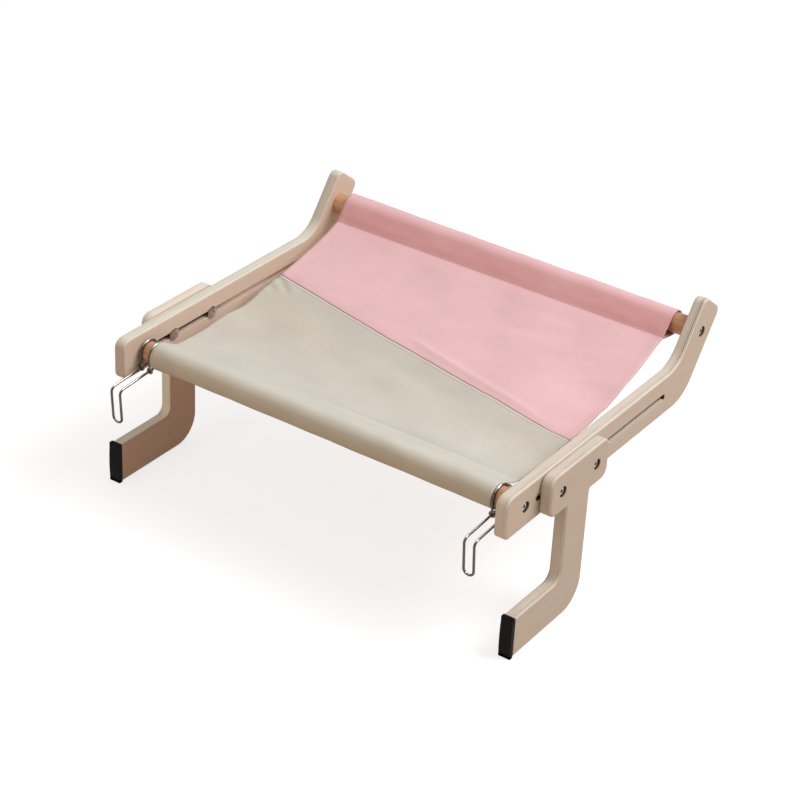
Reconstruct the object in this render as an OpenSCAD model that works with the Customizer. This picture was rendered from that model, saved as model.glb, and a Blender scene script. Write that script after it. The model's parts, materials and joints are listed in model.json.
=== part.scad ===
// Cat hammock: two plywood arms lie on a sill, a cloth sling hangs between
// two dowels, and two legs slide along the arms until their pads meet the wall.
// X runs along the dowels, Y from the front of the arms backward, Z up.
// The origin is midway between the arms, at their front ends, on their underside.

/* [Arms] */
// Thickness of the plywood
ply_t = 15; // [12:0.5:18]
// Height of the level bar
arm_h = 50; // [44:1:60]
// Clear distance between the two arms, which is the length of the dowels
span = 505; // [460:1:600]
// Distance from the front end to the bend, along the top edge
bend_y = 360.5; // [350:0.5:400]
// Slope of the raised rear end, from level
rise_angle = 53.5; // [45:0.5:60]
// Width of the raised rear end
rise_w = 46; // [40:1:52]
// Length of the raised rear end above the bend
rise_len = 87; // [80:1:110]
// Radius of the upper front corner
nose_top_r = 12; // [4:1:16]
// Radius of the lower front corner
nose_low_r = 8; // [4:1:14]
// Radius inside the bend
bend_in_r = 45; // [20:1:50]
// Radius outside the bend
bend_out_r = 52; // [20:1:60]
// Radius of the two corners of the tip
tip_r = 10; // [4:1:14]

/* [Slots] */
// Front end of the slot in the arm
slot_front = 58; // [57:0.5:66]
// Rear end of the slot in the arm
slot_rear = 332; // [270:1:340]
// Width of the slot
slot_w = 7.4; // [7.2:0.1:8.4]

/* [Legs] */
// Place of the post's middle along the arm
leg_y = 123; // [118:1:150]
// Length of the plate beside the arm
plate_l = 118; // [112:1:130]
// Radius of the plate's corners
plate_r = 12; // [4:1:16]
// Width of the post
post_w = 47; // [40:1:56]
// Distance from the post's middle to the wooden front end of the foot
foot_reach = 112.5; // [90:0.5:118]
// Height of the foot
foot_h = 50; // [40:1:60]
// Depth of the foot's underside below the arm
foot_drop = 147; // [130:1:190]
// Radius of the heel
heel_r = 34; // [10:1:36]
// Radius of the crook above the foot
crook_r = 12; // [8:1:28]
// Radius of the notches between plate and post
notch_r = 2.5; // [1:0.5:6]
// Distance between the two bolts of a leg
bolt_pitch = 70; // [66:1:80]

/* [Wall pads] */
// Thickness of the rubber pad
pad_t = 6; // [4:0.5:10]
// How far the pad stands past the foot, above and below
pad_over = 1; // [0:0.5:2]
// Radius of the pad's front edges, above and below
pad_r = 2.5; // [1:0.5:3.5]

/* [Dowels] */
// Diameter of both dowels
dowel_d = 25; // [22:0.5:27]
// Front dowel's distance from the front end of the arm
front_dowel_y = 38; // [36:0.5:40]
// Rear dowel's distance from the bend, along the raised end
rear_dowel_s = 50; // [44:1:58]

/* [Hardware] */
// Diameter of the dowel bolts
dowel_bolt_d = 6; // [5:0.5:7]
// Diameter of the leg bolts
leg_bolt_d = 4.5; // [4:0.1:4.8]
// Diameter of the bolt heads
head_d = 11; // [9.5:0.5:12]
// Height of the bolt heads
head_h = 4; // [3:0.5:5]
// Width across the flats of the hexagon sockets
hex_w = 4; // [3:0.5:5]
// Depth of the hexagon sockets
hex_depth = 2; // [1.5:0.5:2.5]
// Diameter of the recesses for the heads
recess_d = 13; // [12.5:0.5:14]
// Depth of the recesses for the heads
recess_h = 6.5; // [5.5:0.5:7]
// Diameter of the threaded inserts
insert_d = 10; // [9:0.5:12]
// Length of the threaded inserts
insert_l = 15; // [12:1:20]
// How far a dowel bolt reaches past its insert
bolt_past = 2; // [1:0.5:6]
// Diameter of the cap nut heads
nut_d = 16; // [14:0.5:17]
// Height of the cap nut heads
nut_h = 2.5; // [2:0.1:2.6]
// Outer diameter of the cap nut's sleeve
sleeve_d = 6.8; // [6.4:0.1:6.8]
// Length of the cap nut's sleeve
sleeve_l = 12; // [8:0.5:13]

/* [Hooks] */
// Diameter of the wire
wire_d = 3; // [2.5:0.1:3.2]
// Distance between the two wires of a hook
hook_w = 12.6; // [11.5:0.1:16]
// Reach from the dowel's middle to the drop
hook_reach = 67; // [56:1:90]
// Height of the drop
hook_drop = 44; // [36:1:60]
// Radius of the bend above the drop
hook_r = 6; // [4:0.5:9]
// Slope of the hook below level
hook_tilt = 4; // [0:0.5:8]

/* [Sling] */
// Thickness of the cloth
cloth_t = 1.5; // [1:0.1:1.8]
// Depth of the sling's sag below a straight line
sag = 16; // [8:1:30]
// Distance from a dowel's middle to the stitches of its sleeve
stitch_at = 30; // [27:0.5:36]
// Slope from the front dowel up to its stitches
front_sleeve_a = 2; // [-8:1:6]
// Slope from the rear dowel down to its stitches
rear_sleeve_a = 19; // [12:1:26]
// Place of the diagonal seam at the left edge
seam_left_y = 265; // [220:1:300]
// Place of the diagonal seam at the right edge
seam_right_y = 180; // [140:1:220]
// Width of the seam's turned-under allowance
allow_w = 14; // [8:1:24]
// Thickness of the turned-under allowance
allow_t = 1.2; // [0.8:0.1:1.6]

/* [Fits] */
// Gap between a leg and its arm, and between a cap nut and the arm
slide_gap = 0.1; // [0.05:0.05:0.3]
// Gap between a screwed pair, on the radius
thread_gap = 0.05; // [0.03:0.01:0.1]
// Gap between a bolt and a plain hole, on the radius
hole_gap = 0.3; // [0.2:0.05:0.5]
// Gap between a hook's ring and the dowel
ring_gap = 0.5; // [0.3:0.1:0.8]
// Gap between a cloth sleeve and its dowel
sleeve_gap = 0.5; // [0.3:0.1:0.8]
// Gap between the sling's edge and the first wire of a hook
edge_gap = 0.7; // [0.5:0.1:12]
// Gap between a hook's closing eye and the arm
hook_gap = 0.4; // [0.3:0.1:4]

/* [Hidden] */
$fn = 64;
eps = 0.01;
arm_in = span / 2;
arm_out = arm_in + ply_t;
leg_in = arm_out + slide_gap;
leg_out = leg_in + ply_t;
slot_z = arm_h / 2;

// The raised end: along it, and across it toward the rear
up_v = [cos(rise_angle), sin(rise_angle)];
back_v = [sin(rise_angle), -cos(rise_angle)];
bend_top = [bend_y, arm_h];
tip_front = bend_top + rise_len * up_v;
tip_back = tip_front + rise_w * back_v;
bend_low = [
    bend_y + rise_w * back_v[0] - (arm_h + rise_w * back_v[1]) * up_v[0] / up_v[1],
    0
];

dowel_r = dowel_d / 2;
front_c = [front_dowel_y, arm_h / 2];
rear_c = bend_top + rear_dowel_s * up_v + rise_w / 2 * back_v;
bolt_tip = arm_in - insert_l - bolt_past;
dowel_seat = arm_out - recess_h;
leg_seat = leg_out - recess_h;

plate_y0 = leg_y - plate_l / 2;
plate_y1 = leg_y + plate_l / 2;
post_y0 = leg_y - post_w / 2;
post_y1 = leg_y + post_w / 2;
foot_y = leg_y - foot_reach;
foot_top = foot_h - foot_drop;
bolt_front = leg_y - bolt_pitch / 2;
bolt_rear = leg_y + bolt_pitch / 2;

wire_r = wire_d / 2;
ring_r = dowel_r + ring_gap + wire_r;
eye_r = wire_d - 0.2;
hook_x1 = arm_in - hook_gap - eye_r - wire_r;
hook_x0 = hook_x1 - hook_w;
sling_half = hook_x0 - wire_r - edge_gap;

sl_in = dowel_r + sleeve_gap;
sl_out = sl_in + cloth_t;
front_dir = front_sleeve_a;
rear_dir = 180 + rear_sleeve_a;
stitch_f = front_c + stitch_at * [cos(front_dir), sin(front_dir)];
stitch_r = rear_c + stitch_at * [cos(rear_dir), sin(rear_dir)];
sheet_n = 22;
sleeve_n = 40;
sheet_lap = 1.2 / norm(stitch_r - stitch_f);

// A point of the sagging sheet at the share s of its length, offset by d
function sheet_at(s) = stitch_f + s * (stitch_r - stitch_f) - [0, 4 * sag * s * (1 - s)];
function sheet_dir(s) = (stitch_r - stitch_f) - [0, 4 * sag * (1 - 2 * s)];
function sheet_side(s, d) =
    sheet_at(s) + d / norm(sheet_dir(s)) * [-sheet_dir(s)[1], sheet_dir(s)[0]];

function unit(v) = v / norm(v);
function corner_half(a, v, b) = acos(unit(a - v) * unit(b - v)) / 2;
function corner_mid(a, v, b, r) =
    v + unit(unit(a - v) + unit(b - v)) * r / sin(corner_half(a, v, b));
function corner_t(a, v, b, r) = v + unit(a - v) * r / tan(corner_half(a, v, b));

// What lies between a corner and the arc that rounds it, reaching a little past the corner
module corner_patch(a, v, b, r, past) {
    c = corner_mid(a, v, b, r);
    difference() {
        polygon([corner_t(a, v, b, r), v + past * unit(v - c), corner_t(b, v, a, r)]);
        translate(c)
            circle(r = r, $fn = 96);
    }
}

// The disc whose edge rounds an inner corner that is already cut straight across
module corner_disc(a, v, b, r) {
    translate(corner_mid(a, v, b, r))
        circle(r = r, $fn = 96);
}

// Stands a drawing in the Y-Z plane up, from x0 over the length l along X
module along_x(x0, l) {
    translate([x0, 0, 0])
        rotate([90, 0, 90])
            linear_extrude(height = l)
                children();
}

// A round bar along X
module bar_x(x0, x1, d, at) {
    translate([x0, at[0], at[1]])
        rotate([0, 90, 0])
            cylinder(h = x1 - x0, d = d);
}

module arm_outline() {
    nose_low = [0, 0];
    nose_top = [0, arm_h];
    difference() {
        polygon([
            nose_low, bend_low, tip_back, tip_front,
            corner_t(tip_front, bend_top, nose_top, bend_in_r),
            corner_t(nose_top, bend_top, tip_front, bend_in_r),
            nose_top
        ]);
        corner_patch(nose_top, nose_low, bend_low, nose_low_r, 1);
        corner_patch(nose_low, bend_low, tip_back, bend_out_r, 1);
        corner_patch(bend_low, tip_back, tip_front, tip_r, 1);
        corner_patch(tip_back, tip_front, bend_top, tip_r, 1);
        corner_patch(bend_top, nose_top, nose_low, nose_top_r, 1);
        corner_disc(tip_front, bend_top, nose_top, bend_in_r);
    }
}

module slot_outline() {
    translate([slot_front + slot_w / 2, slot_z])
        circle(d = slot_w);
    translate([slot_rear - slot_w / 2, slot_z])
        circle(d = slot_w);
    translate([slot_front + slot_w / 2, slot_z - slot_w / 2])
        square([slot_rear - slot_front - slot_w, slot_w]);
}

// The right arm; the left one is its mirror image
module arm() {
    difference() {
        along_x(arm_in, ply_t)
            arm_outline();
        along_x(arm_in - 1, ply_t + 2)
            slot_outline();
        for (c = [front_c, rear_c]) {
            bar_x(arm_in - 1, arm_out + 1, dowel_bolt_d + 2 * hole_gap, c);
            bar_x(dowel_seat, arm_out + 1, recess_d, c);
        }
    }
}

module leg_outline() {
    p = [
        [plate_y0, arm_h], [plate_y0, 0], [post_y0, 0], [post_y0, foot_top],
        [foot_y, foot_top], [foot_y, -foot_drop], [post_y1, -foot_drop],
        [post_y1, 0], [plate_y1, 0], [plate_y1, arm_h]
    ];
    difference() {
        polygon([
            p[0], p[1],
            corner_t(p[1], p[2], p[3], notch_r), corner_t(p[3], p[2], p[1], notch_r),
            corner_t(p[2], p[3], p[4], crook_r), corner_t(p[4], p[3], p[2], crook_r),
            p[4], p[5], p[6],
            corner_t(p[6], p[7], p[8], notch_r), corner_t(p[8], p[7], p[6], notch_r),
            p[8], p[9]
        ]);
        corner_patch(p[9], p[0], p[1], plate_r, 1);
        corner_patch(p[0], p[1], p[2], plate_r, 1);
        corner_patch(p[5], p[6], p[7], heel_r, 1);
        corner_patch(p[7], p[8], p[9], plate_r, 1);
        corner_patch(p[8], p[9], p[0], plate_r, 1);
        corner_disc(p[1], p[2], p[3], notch_r);
        corner_disc(p[2], p[3], p[4], crook_r);
        corner_disc(p[6], p[7], p[8], notch_r);
    }
}

module leg() {
    difference() {
        along_x(leg_in, ply_t)
            leg_outline();
        for (y = [bolt_front, bolt_rear]) {
            bar_x(leg_in - 1, leg_out + 1, leg_bolt_d + 2 * hole_gap, [y, slot_z]);
            bar_x(leg_seat, leg_out + 1, recess_d, [y, slot_z]);
        }
    }
}

module wall_pad() {
    z0 = -foot_drop - pad_over;
    z1 = foot_top + pad_over;
    y0 = foot_y - pad_t;
    along_x(leg_in, ply_t)
        difference() {
            polygon([[y0, z0], [foot_y, z0], [foot_y, z1], [y0, z1]]);
            corner_patch([y0, z1], [y0, z0], [foot_y, z0], pad_r, 1);
            corner_patch([foot_y, z1], [y0, z1], [y0, z0], pad_r, 1);
        }
}

// A dowel with a stepped bore in each end: the insert's seat, then room for the bolt
module dowel(c) {
    seat_d = insert_d + 2 * thread_gap;
    room_d = dowel_bolt_d + 2 * hole_gap;
    difference() {
        bar_x(-arm_in, arm_in, dowel_d, c);
        bar_x(arm_in - insert_l - thread_gap, arm_in + 1, seat_d, c);
        bar_x(-arm_in - 1, -arm_in + insert_l + thread_gap, seat_d, c);
        bar_x(bolt_tip - 2, arm_in, room_d, c);
        bar_x(-arm_in, -bolt_tip + 2, room_d, c);
    }
}

module insert(c) {
    difference() {
        bar_x(arm_in - insert_l, arm_in, insert_d, c);
        bar_x(arm_in - insert_l - 1, arm_in + 1, dowel_bolt_d + 2 * thread_gap, c);
    }
}

// A bolt head with a rounded rim and a hexagon socket, seated at x
module bolt_head(x, at) {
    translate([x, at[0], at[1]])
        rotate([0, 90, 0])
            difference() {
                rotate_extrude()
                    difference() {
                        square([head_d / 2, head_h]);
                        corner_patch([0, head_h], [head_d / 2, head_h], [head_d / 2, 0], 1.2, 1);
                    }
                translate([0, 0, head_h - hex_depth])
                    cylinder(h = hex_depth + 1, d = hex_w / cos(30), $fn = 6);
            }
}

module dowel_bolt(c) {
    union() {
        bolt_head(dowel_seat, c);
        bar_x(bolt_tip, dowel_seat + eps, dowel_bolt_d, c);
    }
}

module leg_bolt(y) {
    union() {
        bolt_head(leg_seat, [y, slot_z]);
        bar_x(arm_in + 1, leg_seat + eps, leg_bolt_d, [y, slot_z]);
    }
}

// A cap nut: a low domed head inside the arm, and a threaded sleeve that runs in the slot
module cap_nut(y) {
    bore_d = leg_bolt_d + 2 * thread_gap;
    dome_r = (pow(nut_d / 2, 2) + pow(nut_h - 0.8, 2)) / (2 * (nut_h - 0.8));
    translate([arm_in - slide_gap, y, slot_z])
        rotate([0, 90, 0])
            difference() {
                union() {
                    rotate_extrude()
                        intersection() {
                            translate([0, -nut_h])
                                square([nut_d / 2, nut_h]);
                            translate([0, dome_r - nut_h])
                                circle(r = dome_r, $fn = 180);
                        }
                    cylinder(h = sleeve_l, d = sleeve_d);
                }
                translate([0, 0, slide_gap])
                    cylinder(h = sleeve_l + 1, d = bore_d);
                translate([0, 0, -nut_h - 1])
                    cylinder(h = 2.2, d = hex_w / cos(30), $fn = 6);
            }
}

// One wire of a hook: ring, closing eye, leg, bend and drop, in the frame of the dowel's axis
module hook_wire(x) {
    leg_z = -ring_r;
    bend_at = hook_reach - hook_r;
    drop_l = hook_drop - hook_r - hook_w / 2;
    translate([x, 0, 0]) {
        rotate([90, 0, 90])
            rotate([0, 0, -90])
                rotate_extrude(angle = 270)
                    translate([ring_r, 0])
                        circle(r = wire_r);
        translate([0, -ring_r, leg_z + eye_r])
            cylinder(h = ring_r - eye_r, r = wire_r);
        translate([0, -ring_r, leg_z])
            rotate([90, 0, 0])
                rotate_extrude()
                    translate([eye_r, 0])
                        circle(r = wire_r);
        translate([0, 0, leg_z])
            rotate([90, 0, 0])
                cylinder(h = bend_at, r = wire_r);
        translate([0, -bend_at, leg_z - hook_r])
            rotate([90, 0, 90])
                rotate([0, 0, 90])
                    rotate_extrude(angle = 90)
                        translate([hook_r, 0])
                            circle(r = wire_r);
        translate([0, -hook_reach, leg_z - hook_r - drop_l])
            cylinder(h = drop_l, r = wire_r);
    }
}

module hook() {
    translate([0, front_c[0], front_c[1]])
        rotate([hook_tilt, 0, 0])
            union() {
                hook_wire(hook_x0);
                hook_wire(hook_x1);
                translate([
                    (hook_x0 + hook_x1) / 2,
                    -hook_reach,
                    -ring_r - hook_drop + hook_w / 2
                ])
                    rotate([90, 0, 0])
                        rotate([0, 0, 180])
                            rotate_extrude(angle = 180)
                                translate([hook_w / 2, 0])
                                    circle(r = wire_r);
            }
}

// A drop shape: an arc and the two straight lines that leave it toward one point
module drop_outline(c, r, a) {
    half = asin(sl_in / stitch_at);
    turn = 180 + 2 * half;
    polygon(concat(
        [c + r / sin(half) * [cos(a), sin(a)]],
        [
            for (i = [0:sleeve_n])
                c + r * [
                    cos(a + 90 - half + turn * i / sleeve_n),
                    sin(a + 90 - half + turn * i / sleeve_n)
                ]
        ]
    ));
}

module sleeve_outline(c, a) {
    difference() {
        drop_outline(c, sl_out, a);
        drop_outline(c, sl_in, a);
    }
}

// The sagging sheet between the two sleeves, from the side d0 to the side d1; its ends
// lie inside the stitched tips of the sleeves
module sheet_outline(d0, d1) {
    steps = [for (i = [0:sheet_n]) sheet_lap + (1 - 2 * sheet_lap) * i / sheet_n];
    polygon(concat(
        [for (i = [0:sheet_n]) sheet_side(steps[i], d1)],
        [for (i = [sheet_n:-1:0]) sheet_side(steps[i], d0)]
    ));
}

// The whole sling: a sleeve round each dowel and the sheet between them
module sling() {
    union() {
        along_x(-sling_half, 2 * sling_half)
            sleeve_outline(front_c, front_dir);
        along_x(-sling_half, 2 * sling_half)
            sleeve_outline(rear_c, rear_dir);
        along_x(-sling_half, 2 * sling_half)
            sheet_outline(-cloth_t / 2, cloth_t / 2);
    }
}

// The plan of what lies between the seam line moved by s0 and by s1 along Y
module seam_plan(s0, s1) {
    k = (seam_right_y - seam_left_y) / (2 * sling_half);
    m = (seam_right_y + seam_left_y) / 2;
    w = sling_half + 5;
    translate([0, 0, -200])
        linear_extrude(height = 600)
            polygon([
                [-w, m - k * w + s0], [w, m + k * w + s0],
                [w, m + k * w + s1], [-w, m - k * w + s1]
            ]);
}

module left_arm() {
    color([0.86, 0.77, 0.64])
        mirror([1, 0, 0])
            arm();
}

module right_arm() {
    color([0.86, 0.77, 0.64])
        arm();
}

module left_leg() {
    color([0.84, 0.75, 0.62])
        mirror([1, 0, 0])
            leg();
}

module right_leg() {
    color([0.84, 0.75, 0.62])
        leg();
}

module left_wall_pad() {
    color([0.10, 0.10, 0.10])
        mirror([1, 0, 0])
            wall_pad();
}

module right_wall_pad() {
    color([0.10, 0.10, 0.10])
        wall_pad();
}

module front_dowel() {
    color([0.67, 0.48, 0.35])
        dowel(front_c);
}

module rear_dowel() {
    color([0.67, 0.48, 0.35])
        dowel(rear_c);
}

module front_left_insert() {
    color([0.72, 0.60, 0.30])
        mirror([1, 0, 0])
            insert(front_c);
}

module front_right_insert() {
    color([0.72, 0.60, 0.30])
        insert(front_c);
}

module rear_left_insert() {
    color([0.72, 0.60, 0.30])
        mirror([1, 0, 0])
            insert(rear_c);
}

module rear_right_insert() {
    color([0.72, 0.60, 0.30])
        insert(rear_c);
}

module front_left_bolt() {
    color([0.62, 0.62, 0.63])
        mirror([1, 0, 0])
            dowel_bolt(front_c);
}

module front_right_bolt() {
    color([0.62, 0.62, 0.63])
        dowel_bolt(front_c);
}

module rear_left_bolt() {
    color([0.62, 0.62, 0.63])
        mirror([1, 0, 0])
            dowel_bolt(rear_c);
}

module rear_right_bolt() {
    color([0.62, 0.62, 0.63])
        dowel_bolt(rear_c);
}

module left_leg_front_bolt() {
    color([0.62, 0.62, 0.63])
        mirror([1, 0, 0])
            leg_bolt(bolt_front);
}

module left_leg_rear_bolt() {
    color([0.62, 0.62, 0.63])
        mirror([1, 0, 0])
            leg_bolt(bolt_rear);
}

module right_leg_front_bolt() {
    color([0.62, 0.62, 0.63])
        leg_bolt(bolt_front);
}

module right_leg_rear_bolt() {
    color([0.62, 0.62, 0.63])
        leg_bolt(bolt_rear);
}

module left_leg_front_nut() {
    color([0.55, 0.52, 0.50])
        mirror([1, 0, 0])
            cap_nut(bolt_front);
}

module left_leg_rear_nut() {
    color([0.55, 0.52, 0.50])
        mirror([1, 0, 0])
            cap_nut(bolt_rear);
}

module right_leg_front_nut() {
    color([0.55, 0.52, 0.50])
        cap_nut(bolt_front);
}

module right_leg_rear_nut() {
    color([0.55, 0.52, 0.50])
        cap_nut(bolt_rear);
}

module left_hook() {
    color([0.80, 0.80, 0.82])
        mirror([1, 0, 0])
            hook();
}

module right_hook() {
    color([0.80, 0.80, 0.82])
        hook();
}

module grey_panel() {
    color([0.78, 0.75, 0.69])
        intersection() {
            sling();
            seam_plan(-500, 0);
        }
}

module pink_panel() {
    color([0.88, 0.68, 0.69])
        intersection() {
            sling();
            seam_plan(0, 500);
        }
}

module seam_allowance() {
    color([0.74, 0.71, 0.66])
        intersection() {
            along_x(-sling_half, 2 * sling_half)
                sheet_outline(-cloth_t / 2 - allow_t, -cloth_t / 2);
            seam_plan(-allow_w / 2, allow_w / 2);
        }
}

left_arm();
right_arm();
left_leg();
right_leg();
left_wall_pad();
right_wall_pad();
front_dowel();
rear_dowel();
front_left_insert();
front_right_insert();
rear_left_insert();
rear_right_insert();
front_left_bolt();
front_right_bolt();
rear_left_bolt();
rear_right_bolt();
left_leg_front_bolt();
left_leg_rear_bolt();
right_leg_front_bolt();
right_leg_rear_bolt();
left_leg_front_nut();
left_leg_rear_nut();
right_leg_front_nut();
right_leg_rear_nut();
left_hook();
right_hook();
grey_panel();
pink_panel();
seam_allowance();
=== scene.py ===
import json
import math
from bisect import bisect_left

import bpy
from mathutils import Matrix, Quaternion, Vector, noise

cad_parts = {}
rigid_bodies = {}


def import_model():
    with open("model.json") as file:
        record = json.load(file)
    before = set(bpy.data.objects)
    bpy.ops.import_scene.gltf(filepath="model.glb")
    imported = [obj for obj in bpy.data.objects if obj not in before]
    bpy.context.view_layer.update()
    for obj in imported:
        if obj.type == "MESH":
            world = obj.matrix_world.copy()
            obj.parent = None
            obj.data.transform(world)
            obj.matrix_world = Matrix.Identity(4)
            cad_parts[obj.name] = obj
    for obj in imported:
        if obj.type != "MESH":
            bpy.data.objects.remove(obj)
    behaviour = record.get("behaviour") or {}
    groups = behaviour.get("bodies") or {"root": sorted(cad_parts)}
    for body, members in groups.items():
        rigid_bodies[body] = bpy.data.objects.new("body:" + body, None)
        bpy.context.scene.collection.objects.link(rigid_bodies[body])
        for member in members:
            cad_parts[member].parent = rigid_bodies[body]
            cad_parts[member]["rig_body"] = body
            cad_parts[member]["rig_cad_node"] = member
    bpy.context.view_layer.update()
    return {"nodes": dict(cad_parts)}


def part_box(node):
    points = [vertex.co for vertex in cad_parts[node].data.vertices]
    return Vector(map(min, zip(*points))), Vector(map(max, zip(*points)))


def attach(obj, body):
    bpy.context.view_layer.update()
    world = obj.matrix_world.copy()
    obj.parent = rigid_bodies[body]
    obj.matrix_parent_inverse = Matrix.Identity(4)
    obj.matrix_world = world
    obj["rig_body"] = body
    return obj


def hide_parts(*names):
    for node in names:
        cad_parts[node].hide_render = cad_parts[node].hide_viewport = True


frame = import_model()
nodes = frame["nodes"]
scene = bpy.context.scene
scene.view_settings.view_transform = "Standard"


# The camera stands in front of the hammock, to its right and well above it,
# with a long lens and a slight lean to one side.
view_side = math.radians(33.61)
view_height = math.radians(30.67)
view_lean = math.radians(3.04)
view_back = Vector((
    math.sin(view_side) * math.cos(view_height),
    -math.cos(view_side) * math.cos(view_height),
    math.sin(view_height),
))
camera_data = bpy.data.cameras.new("camera")
camera_data.sensor_width = 36.0
camera_data.lens = 102.36
camera_data.clip_start = 0.05
camera_data.clip_end = 50.0
camera = bpy.data.objects.new("camera", camera_data)
scene.collection.objects.link(camera)
camera.rotation_mode = "QUATERNION"
camera.location = (1.25461, -1.69536, 1.32709)
camera.rotation_quaternion = (-view_back).to_track_quat("-Z", "Y") @ Quaternion((0, 0, 1), view_lean)
scene.camera = camera


# The two arms are cut from one sheet of birch plywood, slotted and bored, and
# every outer edge is rounded over with a router; the slots and bolt recesses
# are only broken with paper. The side shows the face veneer, the edge the plies.
ply_thick = 0.015
ply_round = 0.0024
ply_break = 0.0005
rim_margin = 0.002
bore_radius = 0.0066
arm_inner = 0.2525
arm_bores = [(0.038, 0.025), (0.40873, 0.07651)]
slot_level = 0.025
slot_half_height = 0.0038
slot_middle = 0.195
slot_half = 0.1372
slot_rim = (0.056, 0.019, 0.334, 0.031)
# The middle stretch of the slot, free of the painted shade at its ends.
unshaded_middle = 0.2003
unshaded_half = 0.1299
open_glue_lines = (
    (0.01075, 0.00042, (0.085, 0.040, 0.024), 0.85),
    (0.0084, 0.0003, (0.16, 0.09, 0.055), 0.45),
)


def make_group(name, inputs, outputs):
    """A node group; an input given as a tuple is a vector, and all else is a number."""
    group = bpy.data.node_groups.new(name, "ShaderNodeTree")
    for label, value in inputs.items():
        kind = "NodeSocketVector" if isinstance(value, tuple) else "NodeSocketFloat"
        socket = group.interface.new_socket(name=label, in_out="INPUT", socket_type=kind)
        socket.default_value = value
    for label in outputs:
        group.interface.new_socket(name=label, in_out="OUTPUT", socket_type="NodeSocketFloat")
    return group, group.nodes.new("NodeGroupInput").outputs, group.nodes.new("NodeGroupOutput").inputs


def add_group(tree, group, values):
    made = tree.nodes.new("ShaderNodeGroup")
    made.node_tree = group
    for label, value in values.items():
        if isinstance(value, (int, float)):
            made.inputs[label].default_value = value
        else:
            tree.links.new(value, made.inputs[label])
    return made.outputs


def add_math(tree, kind, a, b=None, c=None):
    made = tree.nodes.new("ShaderNodeMath")
    made.operation = kind
    for socket, value in zip(made.inputs, (a, b, c)):
        if value is None:
            continue
        if isinstance(value, (int, float)):
            socket.default_value = value
        else:
            tree.links.new(value, socket)
    return made.outputs[0]


def times(tree, a, b):
    return add_math(tree, "MULTIPLY", a, b)


def add_mix(tree, factor, a, b, blend="MIX"):
    made = tree.nodes.new("ShaderNodeMix")
    made.data_type = "RGBA"
    made.blend_type = blend
    for socket, value in zip((made.inputs[0], made.inputs[6], made.inputs[7]), (factor, a, b)):
        if isinstance(value, (int, float)):
            socket.default_value = value
        elif isinstance(value, tuple):
            socket.default_value = (*value, 1.0)
        else:
            tree.links.new(value, socket)
    return made.outputs[2]


def tinted(tree, tone, colour, mask, share):
    """A tone drawn towards a colour where the mask lies, by a share of the mask."""
    return add_mix(tree, times(tree, mask, share), tone, colour)


def add_ramp(tree, value, stops):
    made = tree.nodes.new("ShaderNodeValToRGB")
    ramp = made.color_ramp
    while len(ramp.elements) < len(stops):
        ramp.elements.new(0.5)
    for element, (place, tone) in zip(ramp.elements, stops):
        element.position = place
        element.color = (*tone, 1.0) if isinstance(tone, tuple) else (tone, tone, tone, 1.0)
    tree.links.new(value, made.inputs[0])
    return made.outputs[0]


def add_band(tree, length, scale, stops):
    """A ramp along a length in metres, which the scale brings into the ramp's span."""
    return add_ramp(tree, times(tree, length, scale), stops)


def add_mapping(tree, vector, scale=(1, 1, 1), turn=(0, 0, 0)):
    made = tree.nodes.new("ShaderNodeMapping")
    made.inputs["Rotation"].default_value = turn
    made.inputs["Scale"].default_value = scale
    tree.links.new(vector, made.inputs["Vector"])
    return made.outputs[0]


def add_noise(tree, vector, scale, detail=2.0, rough=0.5):
    made = tree.nodes.new("ShaderNodeTexNoise")
    made.inputs["Scale"].default_value = scale
    made.inputs["Detail"].default_value = detail
    made.inputs["Roughness"].default_value = rough
    tree.links.new(vector, made.inputs["Vector"])
    return made.outputs["Fac"]


def add_streaks(tree, vector, scale, detail=2.0, rough=0.5):
    """Noise with its own scale along each axis, so that it runs in streaks."""
    return add_noise(tree, add_mapping(tree, vector, scale=scale), 1.0, detail, rough)


def add_scaled(tree, vector, scale):
    made = tree.nodes.new("ShaderNodeVectorMath")
    made.operation = "SCALE"
    tree.links.new(vector, made.inputs[0])
    tree.links.new(scale, made.inputs["Scale"])
    return made.outputs[0]


def add_split(tree, vector):
    made = tree.nodes.new("ShaderNodeSeparateXYZ")
    tree.links.new(vector, made.inputs[0])
    return made.outputs


def add_relief(tree, shader, height, strength, distance=0.0003):
    made = tree.nodes.new("ShaderNodeBump")
    made.inputs["Strength"].default_value = strength
    made.inputs["Distance"].default_value = distance
    tree.links.new(height, made.inputs["Height"])
    tree.links.new(made.outputs[0], shader.inputs["Normal"])


def new_finish(name):
    material = bpy.data.materials.new(name)
    material.use_nodes = True
    return material, material.node_tree, material.node_tree.nodes["Principled BSDF"]


# Fine grain along one direction: long soft streaks and short dark pores
grain, grain_in, grain_out = make_group("grain", {"Vector": (0, 0, 0), "Streaks": 60.0}, ["Tone", "Pores"])
grain_scaled = add_scaled(grain, grain_in["Vector"], grain_in["Streaks"])
grain_bend = add_streaks(grain, grain_scaled, (1.0, 0.045, 1.0), 4.0, 0.6)
grain_fine = add_streaks(grain, grain_scaled, (9.0, 0.16, 9.0))
grain_tone = add_math(grain, "ADD", times(grain, grain_bend, 0.65), times(grain, grain_fine, 0.35))
grain.links.new(grain_tone, grain_out["Tone"])
grain.links.new(add_ramp(grain, grain_fine, [(0.30, 1.0), (0.40, 0.0)]), grain_out["Pores"])

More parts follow.
